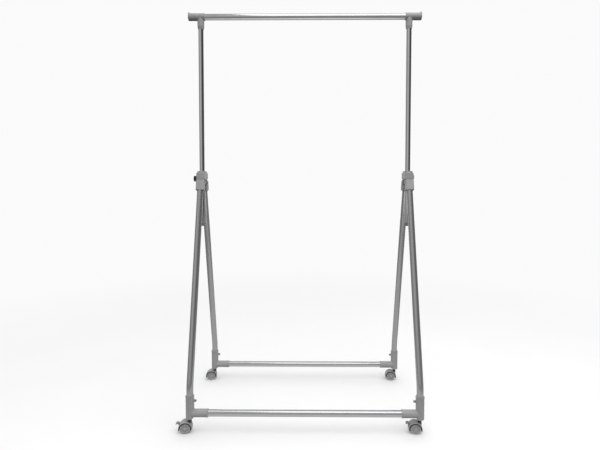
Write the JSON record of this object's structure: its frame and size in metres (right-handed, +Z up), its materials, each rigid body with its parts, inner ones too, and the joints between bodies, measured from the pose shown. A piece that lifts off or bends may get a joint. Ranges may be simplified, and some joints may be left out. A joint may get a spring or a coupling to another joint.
{
  "type": "rolling clothes rack",
  "caption": "Free-standing clothes rail on braked swivel casters, with a height-adjustable hanging bar on two poles and leg frames that fold flat.",
  "frame": {"origin": "on the floor, under the middle of the rack", "axes": "+Z up, +X to the right along the hanging bar, +Y to the back; the braked casters are at -Y"},
  "size_m": [0.9625, 0.4884, 1.64],
  "materials": {
    "bar_metal": "polished plated tube",
    "pole_chrome": "polished chrome plate",
    "leg_metal": "satin silver-grey coating",
    "rail_metal": "glossy silver coating",
    "top_plastic": "moulded grey, satin",
    "hub_plastic": "moulded grey, fine texture",
    "foot_plastic": "moulded grey, fine texture",
    "pin_plastic": "moulded grey",
    "liner_plastic": "moulded dark grey, smooth",
    "hood_plastic": "moulded light grey",
    "wheel_plastic": "moulded grey, worn tread",
    "pedal_plastic": "moulded grey",
    "black_plastic": "moulded black",
    "steel": "zinc-plated steel",
    "dark_steel": "blackened steel"
  },
  "bodies": {
    "hubs": {"left_hub": "hub_plastic", "left_hub_liner": "liner_plastic", "right_hub": "hub_plastic", "right_hub_liner": "liner_plastic", "pivot_pins": "steel", "right_boss_cap": "hub_plastic"},
    "clamp_knob": {"knob_grip": "black_plastic", "knob_stud": "steel"},
    "top_frame": {"top_bar": "bar_metal", "tee_screws": "steel", "left_tee": "top_plastic", "right_tee": "top_plastic", "left_end_cap": "top_plastic", "right_end_cap": "top_plastic", "left_pole": "pole_chrome", "right_pole": "pole_chrome", "left_pole_foot": "liner_plastic", "right_pole_foot": "liner_plastic"},
    "front_frame": {"front_rail": "rail_metal", "front_left_leg": "leg_metal", "front_left_leg_head": "hub_plastic", "front_left_foot": "foot_plastic", "front_right_leg": "leg_metal", "front_right_leg_head": "hub_plastic", "front_right_foot": "foot_plastic", "front_leg_pins": "pin_plastic", "front_caster_stems": "dark_steel"},
    "front_left_caster": {"front_left_caster_hood": "hood_plastic", "front_left_hood_rims": "black_plastic", "front_left_axle": "steel"},
    "front_left_outer_wheel": {"front_left_outer_wheel": "wheel_plastic"},
    "front_left_inner_wheel": {"front_left_inner_wheel": "wheel_plastic"},
    "front_left_brake": {"front_left_brake_lever": "pedal_plastic"},
    "front_right_caster": {"front_right_caster_hood": "hood_plastic", "front_right_hood_rims": "black_plastic", "front_right_axle": "steel"},
    "front_right_outer_wheel": {"front_right_outer_wheel": "wheel_plastic"},
    "front_right_inner_wheel": {"front_right_inner_wheel": "wheel_plastic"},
    "front_right_brake": {"front_right_brake_lever": "pedal_plastic"},
    "rear_frame": {"rear_rail": "rail_metal", "rear_left_leg": "leg_metal", "rear_left_leg_head": "hub_plastic", "rear_left_foot": "foot_plastic", "rear_right_leg": "leg_metal", "rear_right_leg_head": "hub_plastic", "rear_right_foot": "foot_plastic", "rear_leg_pins": "pin_plastic", "rear_caster_stems": "dark_steel"},
    "rear_left_caster": {"rear_left_caster_hood": "hood_plastic", "rear_left_hood_rims": "black_plastic", "rear_left_axle": "steel"},
    "rear_left_outer_wheel": {"rear_left_outer_wheel": "wheel_plastic"},
    "rear_left_inner_wheel": {"rear_left_inner_wheel": "wheel_plastic"},
    "rear_right_caster": {"rear_right_caster_hood": "hood_plastic", "rear_right_hood_rims": "black_plastic", "rear_right_axle": "steel"},
    "rear_right_outer_wheel": {"rear_right_outer_wheel": "wheel_plastic"},
    "rear_right_inner_wheel": {"rear_right_inner_wheel": "wheel_plastic"}
  },
  "joints": [
    {"name": "height_slide", "type": "slide", "parent": "hubs", "child": "top_frame", "axis": [0, 0, 1], "range_m": [-0.58, 0.16]},
    {"name": "clamp_knob_turn", "type": "hinge", "parent": "hubs", "child": "clamp_knob", "pos_m": [-0.43, 0, 0.954], "axis": [-1, 0, 0], "range_deg": [0, 720]},
    {"name": "front_fold", "type": "hinge", "parent": "hubs", "child": "front_frame", "pos_m": [0, -0.0276, 0.938], "axis": [1, 0, 0], "range_deg": [0, 12]},
    {"name": "front_left_swivel", "type": "hinge", "parent": "front_frame", "child": "front_left_caster", "pos_m": [-0.43, -0.222, 0.03], "axis": [0, 0, 1], "continuous": true},
    {"name": "front_left_outer_spin", "type": "hinge", "parent": "front_left_caster", "child": "front_left_outer_wheel", "pos_m": [-0.44691, -0.22378, 0.02], "axis": [-0.1045, 0.9945, 0], "continuous": true},
    {"name": "front_left_inner_spin", "type": "hinge", "parent": "front_left_caster", "child": "front_left_inner_wheel", "pos_m": [-0.44691, -0.22378, 0.02], "axis": [-0.1045, 0.9945, 0], "continuous": true},
    {"name": "front_left_brake_press", "type": "hinge", "parent": "front_left_caster", "child": "front_left_brake", "pos_m": [-0.46431, -0.22561, 0.021], "axis": [0.1045, -0.9945, 0], "range_deg": [0, 12]},
    {"name": "front_right_swivel", "type": "hinge", "parent": "front_frame", "child": "front_right_caster", "pos_m": [0.43, -0.222, 0.03], "axis": [0, 0, 1], "continuous": true},
    {"name": "front_right_outer_spin", "type": "hinge", "parent": "front_right_caster", "child": "front_right_outer_wheel", "pos_m": [0.41309, -0.22022, 0.02], "axis": [0.1045, 0.9945, 0], "continuous": true},
    {"name": "front_right_inner_spin", "type": "hinge", "parent": "front_right_caster", "child": "front_right_inner_wheel", "pos_m": [0.41309, -0.22022, 0.02], "axis": [0.1045, 0.9945, 0], "continuous": true},
    {"name": "front_right_brake_press", "type": "hinge", "parent": "front_right_caster", "child": "front_right_brake", "pos_m": [0.39569, -0.21839, 0.021], "axis": [-0.1045, -0.9945, 0], "range_deg": [0, 12]},
    {"name": "rear_fold", "type": "hinge", "parent": "hubs", "child": "rear_frame", "pos_m": [0, 0.0276, 0.938], "axis": [-1, 0, 0], "range_deg": [0, 12]},
    {"name": "rear_left_swivel", "type": "hinge", "parent": "rear_frame", "child": "rear_left_caster", "pos_m": [-0.43, 0.222, 0.03], "axis": [0, 0, 1], "continuous": true},
    {"name": "rear_left_outer_spin", "type": "hinge", "parent": "rear_left_caster", "child": "rear_left_outer_wheel", "pos_m": [-0.44691, 0.22022, 0.02], "axis": [-0.1045, 0.9945, 0], "continuous": true},
    {"name": "rear_left_inner_spin", "type": "hinge", "parent": "rear_left_caster", "child": "rear_left_inner_wheel", "pos_m": [-0.44691, 0.22022, 0.02], "axis": [-0.1045, 0.9945, 0], "continuous": true},
    {"name": "rear_right_swivel", "type": "hinge", "parent": "rear_frame", "child": "rear_right_caster", "pos_m": [0.43, 0.222, 0.03], "axis": [0, 0, 1], "continuous": true},
    {"name": "rear_right_outer_spin", "type": "hinge", "parent": "rear_right_caster", "child": "rear_right_outer_wheel", "pos_m": [0.41309, 0.22378, 0.02], "axis": [0.1045, 0.9945, 0], "continuous": true},
    {"name": "rear_right_inner_spin", "type": "hinge", "parent": "rear_right_caster", "child": "rear_right_inner_wheel", "pos_m": [0.41309, 0.22378, 0.02], "axis": [0.1045, 0.9945, 0], "continuous": true}
  ]
}
